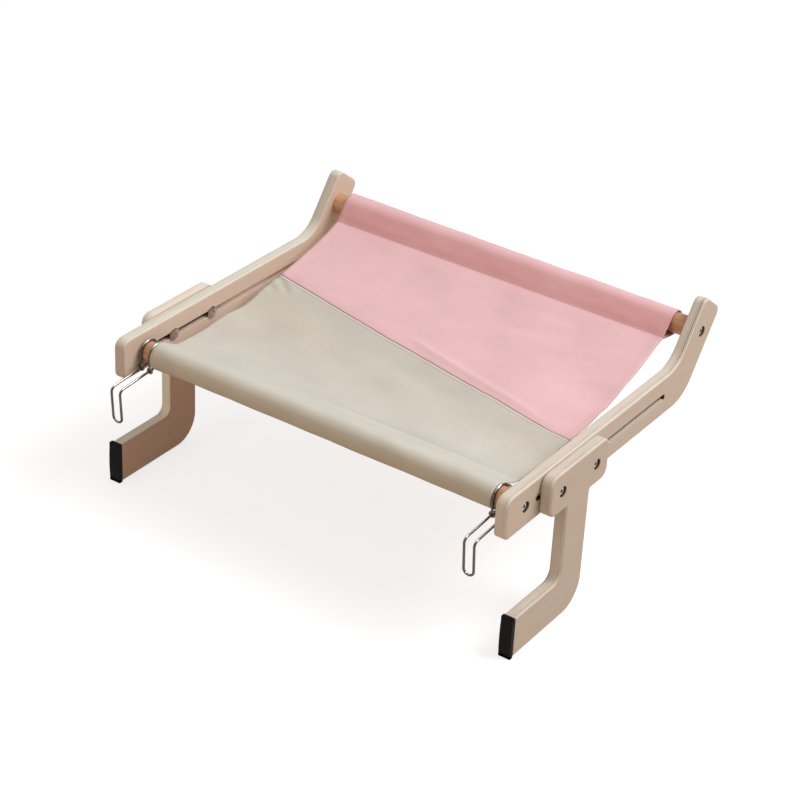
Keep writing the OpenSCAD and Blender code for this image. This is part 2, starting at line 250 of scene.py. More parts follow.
# The edge of a plywood sheet: plies of turning grain with thin glue lines between them
plies, plies_in, plies_out = make_group(
    "plies",
    {"Vector": (0, 0, 0), "Inner face": arm_inner, "Thickness": ply_thick, "Count": 7.0, "Even": 0.0},
    ["Dark ply", "Glue", "Ply tone", "Fibre"],
)
plies_x = add_split(plies, plies_in["Vector"])[0]
plies_waver = add_math(plies, "SUBTRACT", add_streaks(plies, plies_in["Vector"], (20, 6, 6)), 0.5)
plies_depth = add_math(plies, "SUBTRACT", add_math(plies, "ABSOLUTE", plies_x), plies_in["Inner face"])
plies_depth = add_math(plies, "ADD", plies_depth, times(plies, plies_waver, 0.0005))
plies_share = add_math(plies, "DIVIDE", plies_depth, plies_in["Thickness"])
plies_place = times(plies, plies_share, plies_in["Count"])
plies_index = add_math(plies, "FLOOR", plies_place)
plies_odd = add_math(plies, "PINGPONG", plies_index, 1.0)
plies_line = add_math(plies, "FLOOR", add_math(plies, "ADD", plies_place, 0.5))
plies_off = add_math(plies, "ABSOLUTE", add_math(plies, "SUBTRACT", plies_place, plies_line))
plies_random = plies.nodes.new("ShaderNodeTexWhiteNoise")
plies_random.noise_dimensions = "1D"
plies.links.new(add_math(plies, "ADD", plies_index, 0.37), plies_random.inputs["W"])
plies_strong = add_math(plies, "DIVIDE", plies_line, plies_in["Count"])
plies_breaks = add_streaks(plies, plies_in["Vector"], (160, 26, 26), 3.0)
plies_stain = add_ramp(plies, plies_strong, [
    (0.20, 0.34), (0.45, 0.30), (0.57, 0.60), (0.64, 0.60), (0.70, 1.0), (0.75, 1.0), (0.82, 0.38),
])
plies_stain = add_math(plies, "MAXIMUM", plies_stain, plies_in["Even"])
plies_glue = times(plies, add_ramp(plies, plies_off, [(0.13, 1.0), (0.24, 0.0)]), plies_stain)
plies_glue = times(plies, plies_glue, add_ramp(plies, plies_breaks, [(0.30, 0.35), (0.58, 1.0)]))
plies_fibre = plies.nodes.new("ShaderNodeMix")
plies.links.new(plies_odd, plies_fibre.inputs[0])
plies.links.new(add_streaks(plies, plies_in["Vector"], (2600, 60, 60), 3.0, 0.6), plies_fibre.inputs[2])
plies.links.new(add_streaks(plies, plies_in["Vector"], (1500, 1100, 1100), 2.0, 0.6), plies_fibre.inputs[3])
plies.links.new(plies_fibre.outputs[0], plies_out["Fibre"])
plies.links.new(plies_odd, plies_out["Dark ply"])
plies.links.new(plies_glue, plies_out["Glue"])
plies.links.new(plies_random.outputs["Value"], plies_out["Ply tone"])

# A round hole through the sheet: everything within its radius belongs to its wall
bored, bored_in, bored_out = make_group(
    "bored wall", {"Vector": (0, 0, 0), "Y": 0.0, "Z": 0.0, "Radius": bore_radius}, ["Inside"],
)
bored_spot = add_split(bored, bored_in["Vector"])
bored_y = add_math(bored, "SUBTRACT", bored_spot[1], bored_in["Y"])
bored_z = add_math(bored, "SUBTRACT", bored_spot[2], bored_in["Z"])
bored_far = add_math(bored, "ADD", times(bored, bored_y, bored_y), times(bored, bored_z, bored_z))
bored_far = add_math(bored, "SQRT", bored_far)
bored.links.new(add_math(bored, "LESS_THAN", bored_far, bored_in["Radius"]), bored_out["Inside"])


def make_plywood(name, inner_face, shade_at, bores, edges, painted_side_light, foot_lines):
    """Veneer on the sides and plies on the edges, with painted light and shade on the faces by side, painted
    shade in the bolt recesses, painted shade in the slot or along the clamped joint, and on the left arm
    painted light and shade on its edges by facing.
    """
    material, tree, shader = new_finish(name)
    place = tree.nodes.new("ShaderNodeTexCoord").outputs
    faces = add_split(tree, place["Normal"])
    spot = add_split(tree, place["Object"])
    side = add_ramp(tree, add_math(tree, "ABSOLUTE", faces[0]), [(0.60, 0.0), (0.95, 1.0)])
    cloud = add_streaks(tree, place["Object"], (9, 5, 9), 3.0)

    veneer = add_group(tree, grain, {"Vector": place["Object"], "Streaks": 75.0})
    veneer_tone = add_ramp(tree, veneer["Tone"], [
        (0.28, (0.522, 0.422, 0.340)), (0.50, (0.545, 0.447, 0.366)), (0.74, (0.570, 0.474, 0.394)),
    ])
    veneer_tone = tinted(tree, veneer_tone, (0.40, 0.29, 0.20), veneer["Pores"], 0.15)
    veneer_tone = tinted(tree, veneer_tone, (0.530, 0.450, 0.384), cloud, 0.22)
    # Painted light and shade: the inner and outer faces of each board get a factor of their own, lighter,
    # darker or warmer, in place of the light that falls on them.
    inward = add_math(tree, "LESS_THAN", times(tree, faces[0], spot[0]), 0.0)
    outward_painted_light, inward_painted_light = painted_side_light
    painted_side_tone = add_mix(tree, inward, outward_painted_light, inward_painted_light)
    veneer_tone = add_mix(tree, 1.0, veneer_tone, painted_side_tone, "MULTIPLY")

    on_foot = add_band(tree, spot[2], -5.0, [(0.34, 0.0), (0.50, foot_lines)])
    edge = add_group(tree, plies, {"Vector": place["Object"], "Inner face": inner_face, "Even": on_foot})
    edge_light, edge_dark = edges
    edge_tone = tinted(tree, edge_light, edge_dark, edge["Dark ply"], 0.24)
    edge_tone = tinted(tree, edge_tone, edge_dark, edge["Ply tone"], 0.22)
    fibre_tone = add_ramp(tree, edge["Fibre"], [(0.32, 0.0), (0.62, 1.0)])
    edge_tone = tinted(tree, edge_tone, edge_dark, fibre_tone, 0.30)
    glue_seen = add_ramp(tree, add_math(tree, "ABSOLUTE", faces[1]), [(0.60, 0.68), (0.97, 0.30)])
    glue_seen = times(tree, glue_seen, add_math(tree, "MULTIPLY_ADD", on_foot, 0.45, 1.0))
    edge_tone = tinted(tree, edge_tone, (0.24, 0.135, 0.08), edge["Glue"], glue_seen)
    edge_tone = tinted(tree, edge_tone, (0.76, 0.69, 0.61), cloud, 0.15)

    depth = add_math(tree, "SUBTRACT", add_math(tree, "ABSOLUTE", spot[0]), inner_face)
    sunk = add_math(tree, "SUBTRACT", ply_thick, depth)
    # Painted shade in the bolt recesses: their walls darken towards the bottom.
    bore_painted_shade = add_band(tree, sunk, 200.0, [(0.06, (0.27, 0.175, 0.110)), (0.50, (0.030, 0.013, 0.006))])
    for bore_y, bore_z in bores:
        hole = add_group(tree, bored, {"Vector": place["Object"], "Y": bore_y, "Z": bore_z})
        edge_tone = add_mix(tree, hole["Inside"], edge_tone, bore_painted_shade)
    if shade_at == "slot":
        on_right = add_math(tree, "GREATER_THAN", spot[0], 0.0)
        # Painted light and shade on the left arm's edges: lighter where they face up, darker where they face
        # front, down or sideways.
        upward = add_ramp(tree, faces[2], [(0.35, 0.0), (0.85, 1.0)])
        left_board_painted_light = add_mix(tree, upward, (0.88, 0.80, 0.78), (1.07, 1.15, 1.15))
        board_painted_light = add_mix(tree, on_right, left_board_painted_light, (1.0, 1.0, 1.0))
        edge_tone = add_mix(tree, 1.0, edge_tone, board_painted_light, "MULTIPLY")

        # Painted light and shade in the slot: its walls get their own tone on each arm, darker than the
        # other edges; deep inside and at the ends the right arm's slot goes nearly black, and the left's is
        # dark near the nuts and lighter further back.
        deep = add_math(tree, "MINIMUM", depth, sunk)
        deep = add_math(tree, "MULTIPLY_ADD", deep, 100.0, times(tree, on_right, 0.06))
        deep = add_ramp(tree, deep, [(0.49, 0.0), (0.60, 1.0)])
        level = add_math(tree, "COMPARE", spot[2], slot_level, slot_half_height)
        length = add_math(tree, "COMPARE", spot[1], slot_middle, slot_half)
        inside = times(tree, level, length)
        unshaded = add_math(tree, "COMPARE", spot[1], unshaded_middle, unshaded_half)
        ends = add_math(tree, "SUBTRACT", 1.0, unshaded)
        sawn = add_mix(tree, on_right, (0.64, 0.505, 0.400), (0.63, 0.52, 0.43))
        edge_tone = add_mix(tree, inside, edge_tone, sawn)
        slot_deep_painted_shade = add_ramp(tree, spot[1], [(0.14, (0.290, 0.195, 0.135)), (0.20, (0.76, 0.58, 0.45))])
        slot_deep_painted_shade = add_mix(tree, on_right, slot_deep_painted_shade, (0.036, 0.018, 0.010))
        painted_shade_mask = times(tree, add_math(tree, "MAXIMUM", deep, ends), inside)
        edge_tone = add_mix(tree, painted_shade_mask, edge_tone, slot_deep_painted_shade)

        raised = add_ramp(tree, spot[1], [(0.335, 0.0), (0.375, 1.0)])
        raised = times(tree, raised, add_math(tree, "MULTIPLY_ADD", on_right, 0.85, 0.15))
        for line_depth, line_half, line_tone, line_share in open_glue_lines:
            split = times(tree, add_math(tree, "COMPARE", depth, line_depth, line_half), raised)
            edge_tone = tinted(tree, edge_tone, line_tone, split, line_share)
    else:
        # Painted shade along the clamped joint: the edges darken towards the face that meets the arm.
        painted_shade_mask = add_band(tree, depth, 400.0, [(0.20, 1.0), (0.70, 0.0)])
        edge_tone = tinted(tree, edge_tone, (0.16, 0.09, 0.05), painted_shade_mask, 0.80)

    tree.links.new(add_mix(tree, side, edge_tone, veneer_tone), shader.inputs["Base Color"])
    gloss = add_math(tree, "MULTIPLY_ADD", veneer["Tone"], 0.16, 0.50)
    tree.links.new(gloss, shader.inputs["Roughness"])
    shader.inputs["Specular IOR Level"].default_value = 0.3
    fibres = add_math(tree, "SUBTRACT", edge["Fibre"], times(tree, edge["Glue"], 0.3))
    fibres = times(tree, add_math(tree, "SUBTRACT", 1.0, side), fibres)
    height = add_math(tree, "ADD", times(tree, side, veneer["Tone"]), fibres)
    add_relief(tree, shader, height, 0.22)
    return material


def bolt_rim(bolt):
    """The patch of a board's side that holds the rim of one bolt's recess."""
    low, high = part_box(bolt)
    return low.y - rim_margin, low.z - rim_margin, high.y + rim_margin, high.z + rim_margin


def round_over(node, name, rims):
    """A copy of a flat piece with its outer edges rounded and the rims of its holes broken."""
    bpy.ops.object.select_all(action="DESELECT")
    source = nodes[node]
    source.select_set(True)
    bpy.context.view_layer.objects.active = source
    bpy.ops.object.duplicate()
    piece = bpy.context.view_layer.objects.active
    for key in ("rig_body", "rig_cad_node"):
        if key in piece:
            del piece[key]
    piece.parent = None
    piece.name = name
    piece.data.name = name
    piece.data.materials.clear()
    bpy.ops.object.mode_set(mode="EDIT")
    bpy.ops.mesh.select_all(action="SELECT")
    bpy.ops.mesh.customdata_custom_splitnormals_clear()
    bpy.ops.mesh.remove_doubles(threshold=0.00005)
    bpy.ops.mesh.dissolve_limited(angle_limit=math.radians(0.8))
    low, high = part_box(node)
    bpy.ops.mesh.select_mode(type="FACE")
    bpy.ops.mesh.select_all(action="DESELECT")
    bpy.ops.object.mode_set(mode="OBJECT")
    for face in piece.data.polygons:
        off_side = min(abs(face.center.x - low.x), abs(face.center.x - high.x))
        face.select = abs(face.normal.x) > 0.999 and off_side < 0.00001
    bpy.ops.object.mode_set(mode="EDIT")
    bpy.ops.mesh.inset(thickness=ply_round + 0.0002, use_boundary=True, use_even_offset=True)
    bpy.ops.mesh.select_mode(type="EDGE")
    for outer, width, steps in ((True, ply_round, 4), (False, ply_break, 2)):
        bpy.ops.mesh.select_all(action="DESELECT")
        bpy.ops.object.mode_set(mode="OBJECT")
        mesh = piece.data
        normals_at = {}
        for face in mesh.polygons:
            for key in face.edge_keys:
                normals_at.setdefault(key, []).append(face.normal)
        for line in mesh.edges:
            a = mesh.vertices[line.vertices[0]].co
            b = mesh.vertices[line.vertices[1]].co
            off_low = abs(a.x - low.x) + abs(b.x - low.x)
            off_high = abs(a.x - high.x) + abs(b.x - high.x)
            on_face = min(off_low, off_high) < 0.000004
            normals = normals_at.get(tuple(sorted(line.vertices)), [])
            bent = len(normals) == 2 and normals[0].dot(normals[1]) < 0.7
            mid = (a + b) / 2
            in_rim = any(y0 < mid.y < y1 and z0 < mid.z < z1 for y0, z0, y1, z1 in rims)
            line.select = on_face and bent and in_rim != outer
        bpy.ops.object.mode_set(mode="EDIT")
        bpy.ops.mesh.bevel(offset=width, offset_type="OFFSET", segments=steps, profile=0.5, affect="EDGES")
    bpy.ops.object.mode_set(mode="OBJECT")
    bpy.ops.object.shade_smooth_by_angle(angle=math.radians(35))
    weighted = piece.modifiers.new("flat faces stay flat", "WEIGHTED_NORMAL")
    weighted.weight = 90
    weighted.keep_sharp = True
    bpy.ops.object.modifier_apply(modifier=weighted.name)
    return piece


# The arms' inner faces are painted about a fifth lighter: painted light.
arm_plywood = make_plywood(
    "arm_plywood", arm_inner, "slot", arm_bores,
    edges=((0.745, 0.672, 0.590), (0.63, 0.53, 0.43)),
    painted_side_light=((1.0, 0.98, 0.96), (1.20, 1.125, 1.08)),
    foot_lines=0.0,
)
arm_rims = [bolt_rim("front_right_bolt"), bolt_rim("rear_right_bolt"), slot_rim]
for side_name in ("left", "right"):
    arm = round_over(side_name + "_arm", side_name + "_arm_board", arm_rims)
    arm.data.materials.append(arm_plywood)
    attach(arm, "frame")
    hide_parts(side_name + "_arm")


# The two legs come from the same plywood: a plate beside the arm, a post and a
# foot in one piece. Each is clamped through the slot of its arm by two bolts.
leg_inner = 0.2676
leg_bores = [(0.088, slot_level), (0.158, slot_level)]
# The legs' inner faces are painted lighter and warmer, standing in for warm bounced light, and their outer
# faces a little darker: painted shade.
leg_painted_side_light = ((0.95, 0.93, 0.92), (1.26, 1.03, 0.93))
leg_plywoods = {
    # The left leg's edges are painted lighter than the right leg's: painted light.
    "left": make_plywood(
        "left_leg_plywood_painted_light", leg_inner, "joint", leg_bores,
        edges=((0.920, 0.840, 0.735), (0.80, 0.69, 0.56)), painted_side_light=leg_painted_side_light, foot_lines=0.3,
    ),
    "right": make_plywood(
        "right_leg_plywood", leg_inner, "joint", leg_bores,
        edges=((0.730, 0.655, 0.570), (0.58, 0.48, 0.385)), painted_side_light=leg_painted_side_light, foot_lines=0.85,
    ),
}
leg_rims = [bolt_rim("right_leg_front_bolt"), bolt_rim("right_leg_rear_bolt")]
for side_name in ("left", "right"):
    leg = round_over(side_name + "_leg", side_name + "_leg_board", leg_rims)
    leg.data.materials.append(leg_plywoods[side_name])
    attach(leg, side_name + "_leg_set")
    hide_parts(side_name + "_leg")


# The wall pads are moulded black rubber, glued to the front ends of the feet,
# with softly rounded edges and a dull, finely dimpled face.
pad_cuts = 7
pad_bow_low = 0.0034
pad_bow_high = 0.0014
pad_edge_round = 0.0014
pad_rubber, pad_tree, pad_shader = new_finish("pad_rubber")
pad_place = pad_tree.nodes.new("ShaderNodeTexCoord").outputs
pad_dust = add_noise(pad_tree, pad_place["Object"], 90.0, 4.0, 0.6)
pad_tone = add_ramp(pad_tree, pad_dust, [(0.35, (0.0045, 0.0038, 0.0030)), (0.75, (0.0090, 0.0078, 0.0062))])
pad_tree.links.new(pad_tone, pad_shader.inputs["Base Color"])
pad_gloss = add_math(pad_tree, "MULTIPLY_ADD", pad_dust, 0.25, 0.52)
pad_tree.links.new(pad_gloss, pad_shader.inputs["Roughness"])
pad_shader.inputs["Specular IOR Level"].default_value = 0.09
add_relief(pad_tree, pad_shader, add_noise(pad_tree, pad_place["Object"], 1400.0, 1.0), 0.35)
for side_name in ("left", "right"):
    pad_low, pad_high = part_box(side_name + "_wall_pad")
    bpy.ops.object.select_all(action="DESELECT")
    bpy.ops.mesh.primitive_cube_add(size=1)
    pad = bpy.context.view_layer.objects.active
    pad.name = side_name + "_rubber_pad"
    pad.data.name = pad.name
    bpy.ops.object.mode_set(mode="EDIT")
    bpy.ops.mesh.select_all(action="SELECT")
    bpy.ops.transform.resize(value=pad_high - pad_low, center_override=(0, 0, 0))
    bpy.ops.transform.translate(value=(pad_high + pad_low) / 2)
    bpy.ops.mesh.subdivide(number_cuts=pad_cuts)
    for row in range(pad_cuts + 2):
        bpy.ops.mesh.select_all(action="DESELECT")
        bpy.ops.object.mode_set(mode="OBJECT")
        row_z = pad_low.z + (pad_high.z - pad_low.z) * row / (pad_cuts + 1)
        for point in pad.data.vertices:
            point.select = abs(point.co.z - row_z) < 0.0001 and abs(point.co.y - pad_low.y) < 0.0001
        bpy.ops.object.mode_set(mode="EDIT")
        off = 2 * row / (pad_cuts + 1) - 1
        bow = pad_bow_low * off ** 4 if off < 0 else pad_bow_high * off ** 2
        bpy.ops.transform.translate(value=(0, bow, 0))
    bpy.ops.object.mode_set(mode="OBJECT")
    rounding = pad.modifiers.new("moulded edges", "BEVEL")
    rounding.width = pad_edge_round
    rounding.segments = 3
    rounding.limit_method = "ANGLE"
    rounding.angle_limit = math.radians(50)
    bpy.ops.object.modifier_apply(modifier=rounding.name)
    bpy.ops.object.shade_smooth_by_angle(angle=math.radians(40))
    pad.data.materials.append(pad_rubber)
    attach(pad, side_name + "_leg_set")
    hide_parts(side_name + "_wall_pad")


# The two dowels are turned from a warm brown hardwood with a satin oil finish;
# the grain runs along them, and their sawn ends butt against the arms.
dowel_wood, dowel_tree, dowel_shader = new_finish("dowel_wood")
dowel_place = dowel_tree.nodes.new("ShaderNodeTexCoord").outputs
dowel_turn = add_mapping(dowel_tree, dowel_place["Object"], turn=(0, 0, math.pi / 2))
dowel_grain = add_group(dowel_tree, grain, {"Vector": dowel_turn, "Streaks": 160.0})
dowel_tone = add_ramp(dowel_tree, dowel_grain["Tone"], [
    (0.28, (0.465, 0.228, 0.120)), (0.50, (0.605, 0.318, 0.178)), (0.75, (0.705, 0.408, 0.245)),
])
dowel_tone = tinted(dowel_tree, dowel_tone, (0.22, 0.10, 0.05), dowel_grain["Pores"], 0.30)
dowel_tree.links.new(dowel_tone, dowel_shader.inputs["Base Color"])
dowel_gloss = add_math(dowel_tree, "MULTIPLY_ADD", dowel_grain["Tone"], 0.2, 0.34)
dowel_tree.links.new(dowel_gloss, dowel_shader.inputs["Roughness"])
add_relief(dowel_tree, dowel_shader, dowel_grain["Tone"], 0.25)
for node_name in ("front_dowel", "rear_dowel"):
    nodes[node_name].data.materials.clear()
    nodes[node_name].data.materials.append(dowel_wood)


# The screws, cap nuts and inserts are bought hardware: zinc-plated bolts with a
# hexagon socket, darker nickel cap nuts, and brass inserts inside the dowels.
socket_radius = 0.0022
brushed, brushed_in, brushed_out = make_group(
    "handled metal", {"Vector": (0, 0, 0), "Scale": 400.0}, ["Wear", "Smudge"],
)
brushed_size = add_scaled(brushed, brushed_in["Vector"], brushed_in["Scale"])
brushed.links.new(add_noise(brushed, brushed_size, 1.0, 3.0, 0.65), brushed_out["Wear"])
brushed.links.new(add_noise(brushed, brushed_size, 0.18, 2.0), brushed_out["Smudge"])


def make_metal(name, dark, light, painted_highlight, rough, spread, shaded_sockets=()):
    """Handled metal, with a painted highlight on its upper side and painted shade in its hexagon socket."""
    material, tree, shader = new_finish(name)
    place = tree.nodes.new("ShaderNodeTexCoord").outputs
    handled = add_group(tree, brushed, {"Vector": place["Object"]})
    tone = add_ramp(tree, handled["Smudge"], [(0.3, dark), (0.7, light)])
    # Painted highlight: faces that point up take the bright third tone.
    highlight_mask = add_ramp(tree, add_split(tree, place["Normal"])[2], [(0.62, 0.0), (0.86, 1.0)])
    tone = add_mix(tree, highlight_mask, tone, painted_highlight)
    # Painted shade: the hexagon socket of each bolt is coloured nearly black.
    for socket_y, socket_z in shaded_sockets:
        drive = add_group(tree, bored, {
            "Vector": place["Object"], "Y": socket_y, "Z": socket_z, "Radius": socket_radius,
        })
        tone = add_mix(tree, drive["Inside"], tone, (0.060, 0.052, 0.045))
    tree.links.new(tone, shader.inputs["Base Color"])
    shader.inputs["Metallic"].default_value = 1.0
    gloss = add_math(tree, "MULTIPLY_ADD", handled["Wear"], spread, rough)
    tree.links.new(gloss, shader.inputs["Roughness"])
    return material


# The third tone of each metal is its painted highlight.
hardware = {
    "_bolt": make_metal(
        "bolt_zinc", (0.73, 0.71, 0.68), (0.85, 0.83, 0.80), (0.90, 0.88, 0.86), 0.28, 0.20,
        shaded_sockets=arm_bores + leg_bores,
    ),
    "_nut": make_metal(
        "nut_nickel", (0.20, 0.140, 0.110), (0.32, 0.235, 0.190), (0.90, 0.84, 0.79), 0.18, 0.20,
    ),
    "_insert": make_metal(
        "insert_brass", (0.60, 0.44, 0.18), (0.74, 0.58, 0.28), (0.78, 0.62, 0.32), 0.28, 0.20,
    ),
}
for node_name, node in nodes.items():
    for ending, metal in hardware.items():
        if node_name.endswith(ending):
            node.data.materials.clear()
            node.data.materials.append(metal)


# The hooks are bent from polished chrome wire: each end rings the front dowel
# and closes in an eye round its own leg, so the hook can swing.
# The hook's third tone is a painted highlight along its upper side.
hook_chrome = make_metal(
    "hook_chrome", (0.085, 0.066, 0.053), (0.140, 0.115, 0.097), (0.80, 0.79, 0.77), 0.07, 0.08,
)
for node_name in ("left_hook", "right_hook"):
    nodes[node_name].data.materials.clear()
    nodes[node_name].data.materials.append(hook_chrome)


# The sling is fine cotton canvas in two colours, sewn along a slanting seam. It
# is one cloth from sleeve to sleeve: each end is turned round a dowel and
# stitched down, and the sides are hemmed.
cloth_half = 0.2330
cloth_thick = 0.0013
front_axis = Vector(arm_bores[0])
rear_axis = Vector(arm_bores[1])
sleeve_r = 0.01375
stitch_at = 0.030
tuck_short = 0.0026
tuck_under = 0.0016
front_slope = math.radians(2)
rear_slope = math.radians(199)
sag = 0.016
sheet_steps = 120
seam_left_y = 0.265
seam_right_y = 0.180
hem_stitch = 0.0070
seam_stitch = 0.0048
front_stitch = front_axis + stitch_at * Vector((math.cos(front_slope), math.sin(front_slope)))
rear_stitch = rear_axis + stitch_at * Vector((math.cos(rear_slope), math.sin(rear_slope)))


def sheet_point(share):
    at = front_stitch + share * (rear_stitch - front_stitch)
    return Vector((at.x, at.y - 4 * sag * share * (1 - share)))


def sleeve_path(axis, direction, turn, radius):
    """The cloth from the stitches round the dowel and back to the stitches, over the top first."""
    half = math.asin(radius / stitch_at)
    start = direction + turn * (math.pi / 2 - half)
    sweep = turn * (math.pi + 2 * half)
    ahead = Vector((math.cos(direction), math.sin(direction)))
    first = axis + radius * Vector((math.cos(start), math.sin(start)))
    points = [(axis + stitch_at * ahead).lerp(first, i / 10) for i in range(10)]
    for i in range(41):
        a = start + sweep * i / 40
        points.append(axis + radius * Vector((math.cos(a), math.sin(a))))
    last = points[-1].copy()
    back = axis + (stitch_at - tuck_short) * ahead
    back = back + Vector((ahead.y, -ahead.x)) * turn * tuck_under
    for i in range(1, 9):
        points.append(last.lerp(back, i / 8))
    return points


def measured(points):
    lengths = [0.0]
    for a, b in zip(points, points[1:]):
        lengths.append(lengths[-1] + (b - a).length)
    return lengths


def along(points, lengths, distance):
    i = min(max(bisect_left(lengths, distance), 1), len(points) - 1)
    share = (distance - lengths[i - 1]) / max(lengths[i] - lengths[i - 1], 1e-9)
    return points[i - 1].lerp(points[i], share)


def soft_step(a, b, value):
    t = min(max((value - a) / (b - a), 0.0), 1.0)
    return t * t * (3 - 2 * t)


def seam_y(x):
    return seam_left_y + (seam_right_y - seam_left_y) * (x + cloth_half) / (2 * cloth_half)


sheet_line = [sheet_point(i / sheet_steps) for i in range(sheet_steps + 1)]
sheet_lengths = measured(sheet_line)
sheet_length = sheet_lengths[-1]
sheet_ys = [point.x for point in sheet_line]


def distance_at_y(y):
    i = min(max(bisect_left(sheet_ys, y), 1), sheet_steps)
    share = (y - sheet_ys[i - 1]) / (sheet_ys[i] - sheet_ys[i - 1])
    return sheet_lengths[i - 1] + share * (sheet_lengths[i] - sheet_lengths[i - 1])


def cloth_column(x):
    """The cloth's whole profile at one width; the sleeves sit looser at the left."""
    loose = (cloth_half - x) / (2 * cloth_half)
    front_r = sleeve_r + 0.0002 + 0.0012 * soft_step(0.88, 1.0, loose)
    rear_r = sleeve_r + 0.0003 + 0.0026 * loose ** 2
    front = sleeve_path(front_axis, front_slope, 1, front_r)
    rear = sleeve_path(rear_axis, rear_slope, -1, rear_r)
    front_reach = measured(front)[-1]
    line = front[:0:-1] + sheet_line + rear[1:]
    lengths = [length - front_reach for length in measured(line)]
    return line, lengths


def cloth_lift(x, distance, side):
    """How far the cloth stands above its plain profile: slack, soft folds, hems and seam."""
    to_rear = sheet_length - distance
    across = distance - distance_at_y(seam_y(x))
    free = soft_step(-0.002, 0.030, distance) * soft_step(-0.002, 0.030, to_rear)
    middle = soft_step(0.0, 0.06, distance) * soft_step(0.0, 0.06, to_rear)
    # Slack between the sides, broad swells, and slanting folds in patches
    lift = -0.0022 * middle * (1 - (x / cloth_half) ** 2)
    lift += 0.0022 * free * noise.noise(Vector((x * 9.0, distance * 11.0, 1.7)))
    slant = Vector((x * 10.0 + distance * 7.0, distance * 26.0 - x * 9.0, 4.4))
    patch = soft_step(-0.15, 0.35, noise.noise(Vector((x * 6.0, distance * 7.0, 12.1))))
    lift += (0.0033 + 0.0016 * soft_step(0.0, 0.04, -across)) * free * patch * noise.noise(slant)
    lift += 0.00085 * free * patch * noise.noise(slant * 2.3)
    # Short puckers by the rear stitches, a slack right side, and the crease behind the front sleeve
    near_rear = math.exp(-max(to_rear, 0.0) / 0.045)
    short = Vector((x * 34.0 + distance * 20.0, distance * 8.0, 7.7))
    lift += 0.0010 * near_rear * free * noise.noise(short)
    lift -= 0.0026 * middle * soft_step(0.10, cloth_half, x)
    crease = soft_step(-0.13, 0.06, x) * math.exp(-((distance - 0.0100) / 0.0036) ** 2)
    lift -= 0.0009 * crease
    # The turned hems at both sides, with the dent of their stitches
    edge = cloth_half - abs(x)
    lift += 0.0004 * soft_step(0.0100, 0.0082, edge)
    lift -= 0.00025 * math.exp(-((edge - 0.0085) / 0.0009) ** 2)
    # The slanting seam: the grey stands proud, the pink dips and folds, and both pucker
    if abs(across) < 0.06:
        pucker = math.exp(-abs(across) / 0.011) * noise.noise(Vector((x * 85.0, across * 20.0, 9.3)))
        lift += 0.0006 * pucker
        if side < 0:
            lift += 0.0005 * math.exp(-(across / 0.0030) ** 2)
            lift -= 0.0003 * math.exp(-((across + 0.0055) / 0.0020) ** 2)
        else:
            lift -= 0.0003 * math.exp(-(across / 0.0022) ** 2)
            ridge = 0.0185 - 0.034 * (x + 0.02)
            fold = soft_step(-0.05, 0.0, x) * soft_step(0.215, 0.14, x)
            lift += 0.0016 * fold * math.exp(-((across - ridge) / 0.0050) ** 2)
        left = math.exp(-((x + 0.222) / 0.022) ** 2) * math.exp(-((across + 0.012) / 0.013) ** 2)
        lift += 0.0013 * left * math.sin((x * 0.55 + across) * 300.0)
    return lift


def cloth_point(x, distance, side, column):
    line, lengths = column
    at = along(line, lengths, distance)
    slope = (along(line, lengths, distance + 0.0006) - along(line, lengths, distance - 0.0006)).normalized()
    upward = Vector((-slope.y, slope.x))
    rise = 0.0
    if -0.012 < distance < sheet_length + 0.012:
        rise = cloth_lift(x, distance, side) * soft_step(-0.012, 0.0, distance)
        rise *= soft_step(-0.012, 0.0, sheet_length - distance)
    past = max(-distance, distance - sheet_length)
    if past > 0.002:
        ease = soft_step(0.002, 0.012, past) * soft_step(0.0, 0.03, 0.118 - past)
        rise += ease * 0.00030 * (1 + noise.noise(Vector((x * 14.0, distance * 50.0, 3.3))))
        wrung = Vector((x * 30.0 + distance * 45.0, distance * 25.0, 8.8))
        rise += ease * 0.00045 * (1 + noise.noise(wrung))
    at = at + upward * rise
    return Vector((x, at.x, at.y))


def make_sheet(name, columns, rows):
    """A plain grid for a piece of cloth, with a map of its cut and one of its distance from the seam."""
    bpy.ops.object.select_all(action="DESELECT")
    bpy.ops.mesh.primitive_grid_add(x_subdivisions=columns, y_subdivisions=rows, size=1)
    sheet = bpy.context.view_layer.objects.active
    sheet.name = name
    sheet.data.name = name
    maps = sheet.data.uv_layers
    cut_map = maps[0] if maps else maps.new(name="cut")
    cut_map.name = "cut"
    maps.new(name="seam")
    return sheet


def lay_sheet(sheet, flat):
    """Writes each point's place on the flat cloth into the sheet's two maps."""
    cut_map = sheet.data.uv_layers["cut"]
    seam_map = sheet.data.uv_layers["seam"]
    for loop in sheet.data.loops:
        x, distance, off = flat[loop.vertex_index]
        cut_map.data[loop.index].uv = (x, distance)
        seam_map.data[loop.index].uv = (off, x)


def thicken(sheet, thickness):
    bpy.ops.object.shade_smooth()
    thick = sheet.modifiers.new("cloth thickness", "SOLIDIFY")
    thick.thickness = thickness
    thick.offset = 0.0
    bpy.ops.object.modifier_apply(modifier=thick.name)


